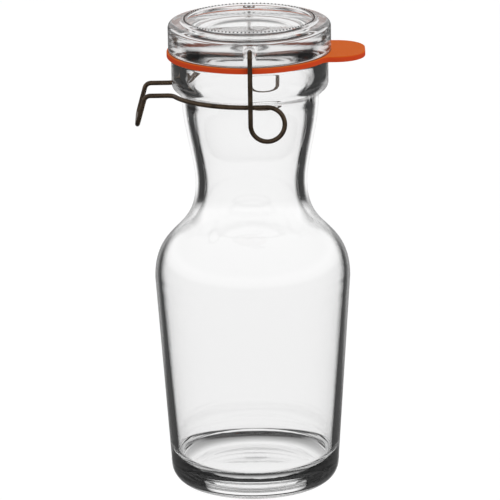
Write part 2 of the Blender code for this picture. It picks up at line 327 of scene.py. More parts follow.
bottle_glass = glass("bottle_glass", BOTTLE_EDGE, FOOT_SHADE, glass_tone=1.0, streak_share=0.15)
lid_glass = glass("lid_glass", LID_EDGE, LID_SHADE, glass_tone=0.97, streak_share=3.0, roughness=0.08)
ground_glass = glass("ground_glass", LID_EDGE, None, glass_tone=1.0, streak_share=0.0, roughness=0.45)
# The dots' glass is toned down to a tenth: a painted shade for the dark surroundings each dot shows.
dot_glass = glass("dot_glass", LID_EDGE, DOT_SHADE, glass_tone=0.1, streak_share=0.0)
print("glass materials:", bottle_glass.name, lid_glass.name, ground_glass.name, dot_glass.name)

# %% [markdown]
# ## Orange rubber
# The gasket is moulded natural rubber: dull and a little grainy. Its flat faces are paler, a painted sheen.
# The ring that the lid and the collar hold has a painted dark brown shade, because hardly any light reaches
# it there.

# %% Rubber material
EDGE_ORANGE = (0.72, 0.068, 0.016, 1)
# The paler orange of the flat faces is a painted sheen.
SHEEN_ORANGE = (0.74, 0.135, 0.012, 1)
# The brown of the clamped ring is a painted shade.
CLAMPED_SHADE_BROWN = (0.12, 0.038, 0.018, 1)
CLAMPED_RADII = (0.0426, 0.0434)
CLAMPED_ORANGE_SHARE = 0.12
CLOUD_SCALE = 120.0
GRAIN_SCALE = 2600.0
GRAIN_DEPTH = 0.00006
RUBBER_ROUGHNESS = 0.6
CLOUD_ROUGHNESS = 0.12
RUBBER_GLOSS = 0.08


def rubber(name):
    """Dull orange rubber with a fine grain, a painted sheen on its flat faces and painted shade where
    clamped.
    """
    material, graph, place = new_material(name)
    normal = graph.add("ShaderNodeNewGeometry").other("Normal")
    flat = graph.math("ABSOLUTE", upward_part(graph, normal))
    free = graph.between(distance_out(graph, place), *CLAMPED_RADII, CLAMPED_ORANGE_SHARE, 1.0)
    # Painted shade inside the clamped radii, painted sheen on the flat faces.
    colour = graph.blend(free, CLAMPED_SHADE_BROWN, graph.blend(flat, EDGE_ORANGE, SHEEN_ORANGE))
    cloud = graph.noise(place, CLOUD_SCALE, detail=3.0)
    grain = graph.noise(place, GRAIN_SCALE, detail=2.0)
    bump = graph.add("ShaderNodeBump", None, {"Strength": 0.5, "Distance": GRAIN_DEPTH, "Height": grain})
    shader = graph.add("ShaderNodeBsdfPrincipled", None, {
        "Base Color": colour, "Roughness": RUBBER_ROUGHNESS + CLOUD_ROUGHNESS * cloud,
        "Specular IOR Level": RUBBER_GLOSS, "Normal": bump})
    graph.add("ShaderNodeOutputMaterial", None, {"Surface": shader})
    return material


orange_rubber = rubber("orange_rubber")
print("rubber material:", orange_rubber.name)

# %% [markdown]
# ## Bronzed wire
# The clip is spring steel with a dark, brown finish that is worn unevenly. So one fine mottle drives all
# that varies on it: its colour, how sharply it shines, and a very slight unevenness of its surface.

# %% Wire material
BRONZE_STOPS = ((0.3, (0.055, 0.040, 0.029)), (0.75, (0.145, 0.102, 0.068)))
MOTTLE_SCALE = 260.0
MOTTLE_DEPTH = 0.00003
WIRE_ROUGHNESS = 0.30
MOTTLE_ROUGHNESS = 0.14


def bronzed_steel(name):
    """Dark satin metal with a mottled finish."""
    material, graph, place = new_material(name)
    mottle = graph.noise(place, MOTTLE_SCALE, detail=4.0)
    bump = graph.add("ShaderNodeBump", None, {"Strength": 0.3, "Distance": MOTTLE_DEPTH, "Height": mottle})
    shader = graph.add("ShaderNodeBsdfPrincipled", None, {
        "Base Color": graph.ramp(mottle, BRONZE_STOPS), "Metallic": 1.0,
        "Roughness": WIRE_ROUGHNESS + MOTTLE_ROUGHNESS * mottle, "Normal": bump})
    graph.add("ShaderNodeOutputMaterial", None, {"Surface": shader})
    return material


bronzed_wire = bronzed_steel("bronzed_wire")
print("wire material:", bronzed_wire.name)

# %% [markdown]
# ## A shape from a node tree
# Geometry Nodes shape every piece here but the gasket. Each tree is built with named inputs for its sizes,
# and is run on a simple mesh, such as an outline. The export reads plain meshes only, so the result is
# copied into one.

# %% Build a tree with named inputs
def tree_with_inputs(name, kinds):
    """A Geometry Nodes tree with these named inputs, and its input node."""
    tree = bpy.data.node_groups.new(name, "GeometryNodeTree")
    tree.interface.new_socket("Geometry", in_out="INPUT", socket_type="NodeSocketGeometry")
    tree.interface.new_socket("Geometry", in_out="OUTPUT", socket_type="NodeSocketGeometry")
    for label, kind in kinds.items():
        tree.interface.new_socket(label, in_out="INPUT", socket_type="NodeSocket" + kind)
    graph = Graph(tree)
    return graph, graph.add("NodeGroupInput")


def finish_tree(graph, geometry, material):
    """Ends a tree with real geometry that carries its material."""
    real = graph.add("GeometryNodeRealizeInstances", None, {"Geometry": geometry})
    painted = graph.add("GeometryNodeSetMaterial", None, {"Geometry": real, "Material": material})
    graph.add("NodeGroupOutput", None, {"Geometry": painted})


print("each tree ends in real geometry with a material")

# %% Run a tree and tidy its mesh
MERGE_DISTANCE = 0.000002


def link_object(name, data):
    """A new object in the scene."""
    piece = bpy.data.objects.new(name, data)
    bpy.context.scene.collection.objects.link(piece)
    return piece


def polyline(name, places):
    """A mesh of points joined by edges."""
    mesh = bpy.data.meshes.new(name)
    mesh.from_pydata(places, [(i, i + 1) for i in range(len(places) - 1)], [])
    return mesh


def run_tree(name, graph, mesh, values):
    """Runs a tree on a mesh and gives the result as a plain mesh object."""
    source = link_object(name + "_source", mesh)
    modifier = source.modifiers.new("nodes", "NODES")
    modifier.node_group = graph.tree
    for item in graph.tree.interface.items_tree:
        if item.in_out == "INPUT" and item.name in values:
            modifier[item.identifier] = values[item.name]
    evaluated = source.evaluated_get(bpy.context.evaluated_depsgraph_get())
    result = bpy.data.meshes.new_from_object(evaluated)
    bpy.data.objects.remove(source)
    result.name = name
    return link_object(name, result)


def outward(piece, sharp_degrees):
    """Merges doubles, turns the faces outwards and marks the sharp edges."""
    shape = bmesh.new()
    shape.from_mesh(piece.data)
    bmesh.ops.remove_doubles(shape, verts=shape.verts, dist=MERGE_DISTANCE)
    bmesh.ops.recalc_face_normals(shape, faces=shape.faces)
    shape.to_mesh(piece.data)
    shape.free()
    piece.data.shade_smooth()
    piece.data.set_sharp_from_angle(angle=math.radians(sharp_degrees))


print("points closer than", round(MERGE_DISTANCE * 1000, 4), "mm are merged")

# %% [markdown]
# ## A lathe
# The bottle and the lid are round, so each is one outline turned about the upright axis. That is a rule,
# and Geometry Nodes can hold it: a flat grid has one column for each step round the axis and one row for
# each point of the outline, and every grid point is moved to its outline point, turned by its column's
# angle.

# %% Build the lathe
LATHE_SEGMENTS = 240
SHARP_DEGREES = 50


def lathe_tree():
    """Turns an outline of (radius, 0, height) points about the upright axis."""
    graph, given = tree_with_inputs("lathe", {"Segments": "Int", "Points": "Int", "Material": "Material"})
    segments, points = given.other("Segments"), given.other("Points")
    grid = graph.add("GeometryNodeMeshGrid", None, {"Vertices X": segments + 1, "Vertices Y": points})
    index = graph.add("GeometryNodeInputIndex")
    column = graph.math("FLOOR", (index + 0.5) / points)
    place = graph.add("GeometryNodeSampleIndex", {"data_type": "FLOAT_VECTOR"}, {
        "Geometry": given, "Value": graph.add("GeometryNodeInputPosition"), "Index": index - column * points})
    radius = graph.add("ShaderNodeSeparateXYZ", None, {"Vector": place})
    angle = column / segments * math.tau
    across, along = radius * graph.math("COSINE", angle), radius * graph.math("SINE", angle)
    moved = graph.add("ShaderNodeCombineXYZ", None, {"X": across, "Y": along, "Z": radius.other("Z")})
    turned = graph.add("GeometryNodeSetPosition", None, {"Geometry": grid, "Position": moved})
    closed = graph.add("GeometryNodeMergeByDistance", None, {"Geometry": turned, "Distance": MERGE_DISTANCE})
    smooth = graph.add("GeometryNodeSetShadeSmooth", None, {"Geometry": closed})
    finish_tree(graph, smooth, given.other("Material"))
    return graph


LATHE = lathe_tree()


def turn_on_lathe(name, outline, material):
    """One round piece from its outline of (radius, height) points."""
    places = [(radius, 0, height) for radius, height in outline]
    values = {"Segments": LATHE_SEGMENTS, "Points": len(places), "Material": material}
    piece = run_tree(name, LATHE, polyline(name + "_outline", places), values)
    outward(piece, SHARP_DEGREES)
    print(name, "has", len(piece.data.polygons), "faces")
    return piece


print("the lathe has", len(LATHE.tree.nodes), "nodes and turns in", LATHE_SEGMENTS, "steps")

# %% [markdown]
# ## The bottle
# The outline runs from the middle of the foot, out over the ring it stands on, up the outside, over the
# mouth and down the inside to the middle of the floor. Most sizes repeat those of the construction model,
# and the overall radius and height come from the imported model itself. The inner walls are a little thinner
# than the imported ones, because the thickness of a wall sets the width of the dark band along its edge. The
# hollow under the foot is shallower too, because through the glass a deeper one looks like a dark lens. A
# fine seam line runs round the foot, where the mould's base met its sides.

# %% Outline helpers
def arc(centre, radius, start, stop, steps):
    """Points on a circle from one angle to another, both ends included, angles in degrees."""
    points = []
    for step in range(steps + 1):
        angle = math.radians(start + (stop - start) * step / steps)
        points.append((centre[0] + radius * math.cos(angle), centre[1] + radius * math.sin(angle)))
    return points


def upright_curve(low, high, shares, steps):
    """A cubic curve from low to high whose two ends both stand upright, both ends included."""
    rise = high[1] - low[1]
    corners = (low, (low[0], low[1] + shares[0] * rise), (high[0], high[1] - shares[1] * rise), high)
    points = []
    for step in range(steps + 1):
        t = step / steps
        weights = ((1 - t) ** 3, 3 * t * (1 - t) ** 2, 3 * t * t * (1 - t), t ** 3)
        points.append(tuple(sum(w * c[axis] for w, c in zip(weights, corners)) for axis in (0, 1)))
    return points


def straight(start, stop, steps):
    """Points between two ends, neither included."""
    return [tuple(a + (b - a) * step / steps for a, b in zip(start, stop)) for step in range(1, steps)]


print("a quarter circle in 2 steps:", [(round(x, 2), round(y, 2)) for x, y in arc((0, 0), 1, 0, 90, 2)])

# %% The bottle's sizes
bottle_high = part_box("bottle")[1]
BODY_RADIUS = bottle_high.x
RIM_HEIGHT = bottle_high.z
WIDEST_HEIGHT = 0.1140
WAIST_HEIGHT = 0.1660
NECK_TOP_HEIGHT = 0.2137
HEEL_RADIUS = 0.0450
HEEL_ROUNDING = 0.0105
WAIST_RADIUS = 0.0297
NECK_TOP_RADIUS = 0.0364
COLLAR_RADIUS = 0.0415
COLLAR_FACE = 0.0140
COLLAR_ROUNDING = 0.0042
COLLAR_START = -55
RIM_ROUNDING = 0.0014
MOUTH_ROUNDING = 0.0030
BEARING_WIDTH = 0.0042
PUNT_HEIGHT = 0.0006
SEAM_PROUD = 0.00012
SEAM_HALF_WIDTH = 0.0003
SHOULDER_SHARES = (0.56, 0.57)
NECK_SHARES = (0.26, 0.35)

NECK_WALL = 0.0061
WAIST_WALL = 0.0048
BODY_WALL = 0.0027
LOWER_WALL = 0.0033
INNER_SHOULDER_RISE = 0.0010
FLOOR_HEIGHT = 0.0094
FLOOR_CORNER = 0.0120
FLOOR_CORNER_RISE = 0.0008
BORE_RADIUS = NECK_TOP_RADIUS - NECK_WALL
MOUTH_RADIUS = 0.0345
FUNNEL_FOOT = 0.2077
FUNNEL_TOP = 0.2262
FUNNEL_SHARES = (0.45, 0.45)
print("bottle:", round(2 * BODY_RADIUS, 4), "m wide and", round(RIM_HEIGHT, 4), "m high")

# %% Turn the bottle
PUNT_STEPS = 16
WALL_STEPS = 12
SHOULDER_STEPS = 36
NECK_STEPS = 20


def bottle_outside():
    """From the middle of the foot to the edge of the mouth."""
    bearing_outer = HEEL_RADIUS - HEEL_ROUNDING
    bearing_inner = bearing_outer - BEARING_WIDTH
    punt = []
    for step in range(PUNT_STEPS + 1):
        share = step / PUNT_STEPS
        punt.append((bearing_inner * share, PUNT_HEIGHT * (1 + math.cos(math.pi * share)) / 2))
    heel = arc((bearing_outer, HEEL_ROUNDING), HEEL_ROUNDING, -90, 0, steps=16)
    taper = (BODY_RADIUS - HEEL_RADIUS) / (WIDEST_HEIGHT - HEEL_ROUNDING)
    seam = []
    for side, proud in ((-1, 0), (0, SEAM_PROUD), (1, 0)):
        height = SEAM_HEIGHT + side * SEAM_HALF_WIDTH
        seam.append((HEEL_RADIUS + taper * (height - HEEL_ROUNDING) + proud, height))
    widest, waist = (BODY_RADIUS, WIDEST_HEIGHT), (WAIST_RADIUS, WAIST_HEIGHT)
    body = straight(seam[-1], widest, WALL_STEPS)
    shoulder = upright_curve(widest, waist, SHOULDER_SHARES, SHOULDER_STEPS)
    neck = upright_curve(waist, (NECK_TOP_RADIUS, NECK_TOP_HEIGHT), NECK_SHARES, NECK_STEPS)
    collar_foot = (COLLAR_RADIUS - COLLAR_ROUNDING, RIM_HEIGHT - COLLAR_FACE)
    collar = arc(collar_foot, COLLAR_ROUNDING, COLLAR_START, 0, steps=10)
    edge = arc((COLLAR_RADIUS - RIM_ROUNDING, RIM_HEIGHT - RIM_ROUNDING), RIM_ROUNDING, 0, 90, steps=8)
    mouth_centre = (MOUTH_RADIUS + MOUTH_ROUNDING, RIM_HEIGHT - MOUTH_ROUNDING)
    mouth = arc(mouth_centre, MOUTH_ROUNDING, 90, 180, steps=8)
    return punt + heel + seam + body + shoulder + neck[1:] + collar + edge + mouth


def bottle_inside():
    """From the mouth's funnel down to the middle of the floor."""
    waist = (WAIST_RADIUS - WAIST_WALL, WAIST_HEIGHT)
    widest = (BODY_RADIUS - BODY_WALL, WIDEST_HEIGHT + INNER_SHOULDER_RISE)
    funnel_foot = (BORE_RADIUS, FUNNEL_FOOT)
    funnel = upright_curve(funnel_foot, (MOUTH_RADIUS, FUNNEL_TOP), FUNNEL_SHARES, steps=16)
    neck = upright_curve(waist, funnel_foot, NECK_SHARES, NECK_STEPS)[:-1] + funnel
    shoulder = upright_curve(widest, waist, SHOULDER_SHARES, SHOULDER_STEPS)
    corner_centre = (HEEL_RADIUS - LOWER_WALL - FLOOR_CORNER, FLOOR_HEIGHT + FLOOR_CORNER_RISE + FLOOR_CORNER)
    corner = arc(corner_centre, FLOOR_CORNER, 0, -90, steps=16)
    body = straight(widest, corner[0], WALL_STEPS)
    floor = straight(corner[-1], (0, FLOOR_HEIGHT), steps=8)
    return neck[::-1] + shoulder[-2::-1] + body + corner + floor + [(0, FLOOR_HEIGHT)]


bottle = turn_on_lathe("bottle_shell", bottle_outside() + bottle_inside(), bottle_glass)
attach(bottle, "bottle")
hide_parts("bottle")

# %% [markdown]
# ## The lid
# The lid is a thick pressed disc. Its side is well rounded above and almost sharp below, where it meets the
# rubber. On top a raised rim runs round a shallow recess, and below a short plug with a curved hollow
# enters the mouth. The lid is turned in the same way as the bottle. The clip's ends sit in a round dimple
# at front and back, which two turned cutters take out. A dimple keeps its cutter's rough glass, as if it
# were ground, so it stays a soft grey spot and doesn't act as a lens.

# %% The lid's sizes
lid_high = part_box("lid")[1]
gasket_low, gasket_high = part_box("gasket")
LID_RADIUS = lid_high.x
LID_TOP = lid_high.z
LID_SEAT = 0.2378
LID_SHOULDER_ROUNDING = 0.0032
LID_LOWER_ROUNDING = 0.0012
RAISED_RIM_HEIGHT = 0.0019
RAISED_RIM_RADIUS = 0.0370
RAISED_RIM_ROUNDING = 0.0024
RECESS_RADIUS = 0.0330
RECESS_DEPTH = 0.0022
RECESS_SLOPE = 0.0018
RECESS_ROUNDING = 0.0010
PLUG_RADIUS = 0.0337
PLUG_DEPTH = 0.0030
PLUG_FOOT_WIDTH = 0.0012
PLUG_ROUNDING = 0.0015
HOLLOW_DEPTH = 0.0059
PIVOT_RISE = 0.0081
PIVOT_HEIGHT = LID_SEAT + PIVOT_RISE
DIMPLE_RADIUS = 0.0034
DIMPLE_PROUD = 0.0006
DIMPLE_FILLET = 0.0005
DOT_RADIUS = 0.00052
DOT_PROUD = 0.00045
CREST_HEIGHT = LID_TOP - DOT_PROUD
print("lid:", round(2 * LID_RADIUS, 4), "m wide and", round(LID_TOP - LID_SEAT, 4), "m thick")

# %% Turn the lid
HOLLOW_STEPS = 32


def lid_outline():
    """From the middle of the underside round to the middle of the recess."""
    plug_foot = LID_SEAT - PLUG_DEPTH
    hollow_radius = PLUG_RADIUS - PLUG_ROUNDING - PLUG_FOOT_WIDTH
    hollow = []
    for step in range(HOLLOW_STEPS + 1):
        share = step / HOLLOW_STEPS
        hollow.append((hollow_radius * math.sqrt(share), plug_foot + HOLLOW_DEPTH * (1 - share ** 2)))
    plug = arc((PLUG_RADIUS - PLUG_ROUNDING, plug_foot + PLUG_ROUNDING), PLUG_ROUNDING, -90, 0, steps=6)
    lower_centre = (LID_RADIUS - LID_LOWER_ROUNDING, LID_SEAT + LID_LOWER_ROUNDING)
    lower = arc(lower_centre, LID_LOWER_ROUNDING, -90, 0, steps=12)
    shoulder_height = LID_TOP - RAISED_RIM_HEIGHT
    shoulder_centre = (LID_RADIUS - LID_SHOULDER_ROUNDING, shoulder_height - LID_SHOULDER_ROUNDING)
    shoulder = arc(shoulder_centre, LID_SHOULDER_ROUNDING, 0, 90, steps=10)
    rim_start = math.degrees(math.asin(1 - (CREST_HEIGHT - shoulder_height) / RAISED_RIM_ROUNDING))
    rim_centre = (RAISED_RIM_RADIUS - RAISED_RIM_ROUNDING, CREST_HEIGHT - RAISED_RIM_ROUNDING)
    raised_rim = arc(rim_centre, RAISED_RIM_ROUNDING, rim_start, 90, steps=12)
    edge_centre = (RECESS_RADIUS + RECESS_ROUNDING, CREST_HEIGHT - RECESS_ROUNDING)
    edge = arc(edge_centre, RECESS_ROUNDING, 90, 180, steps=6)
    floor_height = LID_TOP - RECESS_DEPTH
    floor = [(RECESS_RADIUS - RECESS_SLOPE, floor_height), (0, floor_height)]
    return hollow + plug + [(PLUG_RADIUS, LID_SEAT)] + lower + shoulder + raised_rim + edge + floor


lid = turn_on_lathe("lid_puck", lid_outline(), lid_glass)

# %% Cut the lid's dimples
CUTTER_SEGMENTS = 48


def dimple_cutter(side):
    """A ball with a flared edge, on the pivot's axis at the front or the back."""
    flare = math.sqrt((DIMPLE_RADIUS + DIMPLE_FILLET) ** 2 - (DIMPLE_PROUD + DIMPLE_FILLET) ** 2)
    meet = math.degrees(math.atan2(-DIMPLE_FILLET - DIMPLE_PROUD, flare))
    ball = arc((0, DIMPLE_PROUD), DIMPLE_RADIUS, -90, meet, steps=12)
    fillet = arc((flare, -DIMPLE_FILLET), DIMPLE_FILLET, 180 + meet, 90, steps=5)
    outline = ball + fillet[1:] + [(flare, 2 * DIMPLE_RADIUS), (0, 2 * DIMPLE_RADIUS)]
    shape = bmesh.new()
    chain = [shape.verts.new((radius, 0, out)) for radius, out in outline]
    edges = [shape.edges.new(pair) for pair in zip(chain, chain[1:])]
    bmesh.ops.spin(
        shape, geom=chain + edges, axis=(0, 0, 1), angle=math.tau, steps=CUTTER_SEGMENTS, use_merge=True)
    bmesh.ops.remove_doubles(shape, verts=shape.verts, dist=MERGE_DISTANCE)
    bmesh.ops.recalc_face_normals(shape, faces=shape.faces)
    mesh = bpy.data.meshes.new("dimple_cutter")
    shape.to_mesh(mesh)
    shape.free()
    mesh.materials.append(ground_glass)
    cutter = link_object("dimple_cutter", mesh)
    cutter.rotation_euler = (math.radians(-90 * side), 0, 0)
    cutter.location = (0, side * LID_RADIUS, PIVOT_HEIGHT)
    return cutter


def cut(piece, cutters):
    """Takes the cutters out of a piece and leaves it a plain mesh. Cut faces take the cutters' material."""
    for cutter in cutters:
        modifier = piece.modifiers.new("dimple", "BOOLEAN")
        modifier.operation = "DIFFERENCE"
        modifier.material_mode = "TRANSFER"
        modifier.object = cutter
    evaluated = piece.evaluated_get(bpy.context.evaluated_depsgraph_get())
    piece.data = bpy.data.meshes.new_from_object(evaluated)
    piece.modifiers.clear()
    for cutter in cutters:
        bpy.data.objects.remove(cutter)


cut(lid, [dimple_cutter(-1), dimple_cutter(1)])
outward(lid, SHARP_DEGREES)
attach(lid, "lid")
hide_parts("lid")
print("lid with dimples:", len(lid.data.polygons), "faces")

# %% [markdown]
# ## The ring of dots
# Pressed glass lids often carry a line of small raised dots on the rim. Here each is the same tiny ball,
# sunk into the crest of the raised rim so that only a dome stands out. Geometry Nodes set one on every
# point of a circle.

# %% Press the dots
DOT_COUNT = 104
DOT_RING_RADIUS = 0.0344
DOT_HEIGHT = LID_TOP - DOT_RADIUS
DOT_SUBDIVISIONS = 2
DOT_SHARP_DEGREES = 60


def dot_tree():
    """One small ball on each point of a circle."""
    graph, given = tree_with_inputs("dots", {
        "Count": "Int", "Ring Radius": "Float", "Dot Radius": "Float", "Height": "Float",
        "Material": "Material"})
    ring = graph.add("GeometryNodeMeshCircle", None, {
        "Vertices": given.other("Count"), "Radius": given.other("Ring Radius")})
    ball = graph.add("GeometryNodeMeshIcoSphere", None, {
        "Radius": given.other("Dot Radius"), "Subdivisions": DOT_SUBDIVISIONS})
    balls = graph.add("GeometryNodeInstanceOnPoints", None, {"Points": ring, "Instance": ball})
    rise = graph.add("ShaderNodeCombineXYZ", None, {"Z": given.other("Height")})
    placed = graph.add("GeometryNodeTranslateInstances", None, {
        "Instances": balls, "Translation": rise, "Local Space": False})
    finish_tree(graph, placed, given.other("Material"))
    return graph


dots = run_tree("lid_dots", dot_tree(), bpy.data.meshes.new("lid_dots_start"), {
    "Count": DOT_COUNT, "Ring Radius": DOT_RING_RADIUS, "Dot Radius": DOT_RADIUS, "Height": DOT_HEIGHT,
    "Material": dot_glass})
outward(dots, DOT_SHARP_DEGREES)
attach(dots, "lid")
print("dots:", DOT_COUNT, "with", len(dots.data.polygons), "faces")

# %% [markdown]
# ## The gasket
# The gasket is a flat ring with a wide tab to pull. Its flat faces are filled between two loops, and its
# edges are rounded by a few more loops drawn slightly inside the outline, so the rounding follows the tab
# as well as the ring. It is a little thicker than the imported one, so that it fills most of the gap between
# lid and collar.

# %% The gasket's sizes
GASKET_HOLE_RADIUS = 0.0349
GASKET_RADIUS = gasket_high.y
TAB_REACH = gasket_high.x
TAB_HALF_WIDTH = 0.0195
TAB_CORNER = 0.0155
TAB_ROOT_FILLET = 0.0050
GASKET_EDGE_ROUNDING = 0.0005
GASKET_FLAT_START = 0.0015
GAP_FILLED = 0.0002
RING_STEPS = 180
print("gasket:", round(2 * GASKET_RADIUS, 4), "m wide, its tab reaches", round(TAB_REACH, 4), "m out")

# %% Mould the gasket
def gasket_outline():
    """The ring's outer edge with the tab at +X, anticlockwise."""
    fillet_y = TAB_HALF_WIDTH + TAB_ROOT_FILLET
    fillet_x = math.sqrt((GASKET_RADIUS + TAB_ROOT_FILLET) ** 2 - fillet_y ** 2)
    root = math.degrees(math.atan2(fillet_y, fillet_x))
    corner_x = TAB_REACH - TAB_CORNER
    corner_y = TAB_HALF_WIDTH - TAB_CORNER
    lower = arc((fillet_x, -fillet_y), TAB_ROOT_FILLET, 180 - root, 90, steps=12)
    lower_corner = arc((corner_x, -corner_y), TAB_CORNER, -90, 0, steps=24)
    upper_corner = arc((corner_x, corner_y), TAB_CORNER, 0, 90, steps=24)
    upper = arc((fillet_x, fillet_y), TAB_ROOT_FILLET, -90, root - 180, steps=12)
    ring = arc((0, 0), GASKET_RADIUS, root, 360 - root, RING_STEPS)
    return lower + lower_corner + upper_corner + upper + ring[1:-1]


def inset(outline, distance):
    """The outline moved into the rubber, to the left of its direction."""
    moved = []
    for index, point in enumerate(outline):
        before, after = outline[index - 1], outline[(index + 1) % len(outline)]
        along = Vector((after[0] - before[0], after[1] - before[1])).normalized()
        moved.append((point[0] - along.y * distance, point[1] + along.x * distance))
    return moved


def make_gasket(material):
    """Rounded edges round the outline and the hole, and flat faces filled between them."""
    base, top = gasket_low.z - GAP_FILLED, gasket_high.z + GAP_FILLED
    rounding = GASKET_EDGE_ROUNDING
    section = [(GASKET_FLAT_START, top)]
    section += [(rounding - x, y) for x, y in arc((0, top - rounding), rounding, 90, 0, steps=5)]
    section += [(rounding - x, y) for x, y in arc((0, base + rounding), rounding, 0, -90, steps=5)]
    section += [(GASKET_FLAT_START, base)]
    shape = bmesh.new()
    hole = arc((0, 0), GASKET_HOLE_RADIUS, 360, 0, RING_STEPS)[:-1]
    flats = {0: [], len(section) - 1: []}
    for outline in (gasket_outline(), hole):
        loops = []
        for distance, height in section:
            loops.append([shape.verts.new((x, y, height)) for x, y in inset(outline, distance)])
        count = len(outline)
        for upper, lower in zip(loops, loops[1:]):
            for index in range(count):
                after = (index + 1) % count
                shape.faces.new((upper[index], upper[after], lower[after], lower[index]))
        for row in flats:
            loop = loops[row]
            flats[row] += [shape.edges.get((loop[i], loop[(i + 1) % count])) for i in range(count)]
    for edges in flats.values():
        bmesh.ops.triangle_fill(shape, edges=edges, use_beauty=True)
    bmesh.ops.recalc_face_normals(shape, faces=shape.faces)
    mesh = bpy.data.meshes.new("gasket_ring")
    shape.to_mesh(mesh)
    shape.free()
    mesh.shade_smooth()
    mesh.materials.append(material)
    return link_object("gasket_ring", mesh)


gasket = make_gasket(orange_rubber)
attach(gasket, "lid")
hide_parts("gasket")
print("gasket:", len(gasket.data.polygons), "faces")

# %% [markdown]
# ## The wire clip
# One length of wire makes the whole clip, so its centre line is one path: pin, upright, loop, collar, arm
# and lever, and the same again at the back. Geometry Nodes sweep a circle along it and close its two ends.

# %% The wire's sizes
clip_low, clip_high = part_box("wire_clip")
WIRE_RADIUS = 0.00125
WIRE_CLEARANCE = 0.00035
RING_RADIUS = COLLAR_RADIUS + WIRE_CLEARANCE + WIRE_RADIUS
RING_DROP = 0.0038
RING_HEIGHT = RIM_HEIGHT - COLLAR_FACE - RING_DROP
UPRIGHT_OUT = clip_high.y - WIRE_RADIUS
PIN_DEPTH = 0.00226
PIN_BEND = 0.0026
LOOP_RADIUS = 0.0089
ARM_HALF_SPACING = 0.0143
ARM_ROOT_BEND = 0.0045
LEVER_X = clip_low.x + WIRE_RADIUS
LEVER_DROP = 0.0160
LEVER_BEND = 0.0035
LEVER_CORNER = 0.0035
LEVER_LEAN = math.radians(15.5)
RIGHT_ANGLE = math.radians(90)
print("wire:", round(2 * WIRE_RADIUS, 4), "m thick, its ring", round(RING_HEIGHT, 4), "m up")

# %% Bend the centre line
LOOP_STEPS = 72


def bend(start, heading, towards, radius, angle, steps):
    """A bend from start, heading one way and turning towards another: its points and its last heading."""
    points = []
    for step in range(1, steps + 1):
        turn = angle * step / steps
        points.append(start + heading * radius * math.sin(turn) + towards * radius * (1 - math.cos(turn)))
    return points, heading * math.cos(angle) + towards * math.sin(angle)


def pin_and_loop(out, down):
    """From the pin in the lid, down the upright and three quarters round the loop."""
    pivot = Vector((0, 0, PIVOT_HEIGHT))
    path = [pivot + out * (LID_RADIUS - PIN_DEPTH), pivot + out * (UPRIGHT_OUT - PIN_BEND)]
    path += bend(path[-1], out, down, PIN_BEND, RIGHT_ANGLE, steps=10)[0]
    loop = arc((LOOP_RADIUS, RING_HEIGHT - LOOP_RADIUS), LOOP_RADIUS, 180, 450, LOOP_STEPS)
    for step, (x, z) in enumerate(loop):
        share = step / LOOP_STEPS
        ease = share * share * (3 - 2 * share)
        path.append(Vector((x, -(UPRIGHT_OUT + (RING_RADIUS - UPRIGHT_OUT) * ease), z)))
    return path


def collar_and_arm():
    """A quarter round the collar and out into the lever's arm."""
    bend_y = ARM_HALF_SPACING + ARM_ROOT_BEND
    bend_x = math.sqrt((RING_RADIUS + ARM_ROOT_BEND) ** 2 - bend_y ** 2)
    leave = math.degrees(math.atan2(bend_y, bend_x))
    ring = arc((0, 0), RING_RADIUS, -90, leave - 180, steps=48)
    root = arc((-bend_x, -bend_y), ARM_ROOT_BEND, leave, 90, steps=12)
    return [Vector((x, y, RING_HEIGHT)) for x, y in ring[1:] + root[1:]]


def front_wire():
    """The front half, from the pin in the lid to the middle of the lever's bar."""
    out, down, left = Vector((0, -1, 0)), Vector((0, 0, -1)), Vector((-1, 0, 0))
    path = pin_and_loop(out, down) + collar_and_arm()
    turn = RIGHT_ANGLE - LEVER_LEAN
    leg_fall = LEVER_DROP - LEVER_BEND * (1 - math.cos(turn))
    arm_end = LEVER_X + leg_fall * math.tan(LEVER_LEAN) + LEVER_BEND * math.sin(turn)
    path.append(Vector((arm_end, -ARM_HALF_SPACING, RING_HEIGHT)))
    points, heading = bend(path[-1], left, down, LEVER_BEND, turn, steps=12)
    path += points
    path.append(path[-1] + heading * (leg_fall / math.cos(LEVER_LEAN) - LEVER_CORNER))
    return path + bend(path[-1], heading, -out, LEVER_CORNER, RIGHT_ANGLE, steps=12)[0]


front = front_wire()
centre_line = front + [Vector((p.x, -p.y, p.z)) for p in reversed(front)]
wire_length = sum((b - a).length for a, b in zip(centre_line, centre_line[1:]))
print("the clip's wire is", round(wire_length, 4), "m long")

# %% Sweep the wire
WIRE_SIDES = 24


def sweep_tree():
    """Sweeps a circle along a line of edges."""
    graph, given = tree_with_inputs("sweep", {"Wire Radius": "Float", "Sides": "Int", "Material": "Material"})
    line = graph.add("GeometryNodeMeshToCurve", None, {"Mesh": given})
    circle = graph.add("GeometryNodeCurvePrimitiveCircle", None, {
        "Resolution": given.other("Sides"), "Radius": given.other("Wire Radius")})
    swept = graph.add("GeometryNodeCurveToMesh", None, {
        "Curve": line, "Profile Curve": circle, "Fill Caps": True})
    finish_tree(graph, swept, given.other("Material"))
    return graph


clip = run_tree("wire_clip_swept", sweep_tree(), polyline("centre_line", centre_line), {
    "Wire Radius": WIRE_RADIUS, "Sides": WIRE_SIDES, "Material": bronzed_wire})
outward(clip, SHARP_DEGREES)
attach(clip, "clip")
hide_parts("wire_clip")
print("wire clip:", len(clip.data.polygons), "faces")

# %% [markdown]
# ## The studio's walls
# Glass shows its surroundings, so the studio is part of its look. Seen straight or through the glass, the
# world is white, and it lights dull surfaces with a little over half of that. Light that was reflected
# inside a wall of glass comes from sides that are dark up to eye level, which draws the dark bands along
# the edges. What the outside of a piece reflects is softer: grey below, a bright band above eye level and
# grey again overhead. Light Path tells these apart, whatever the view.

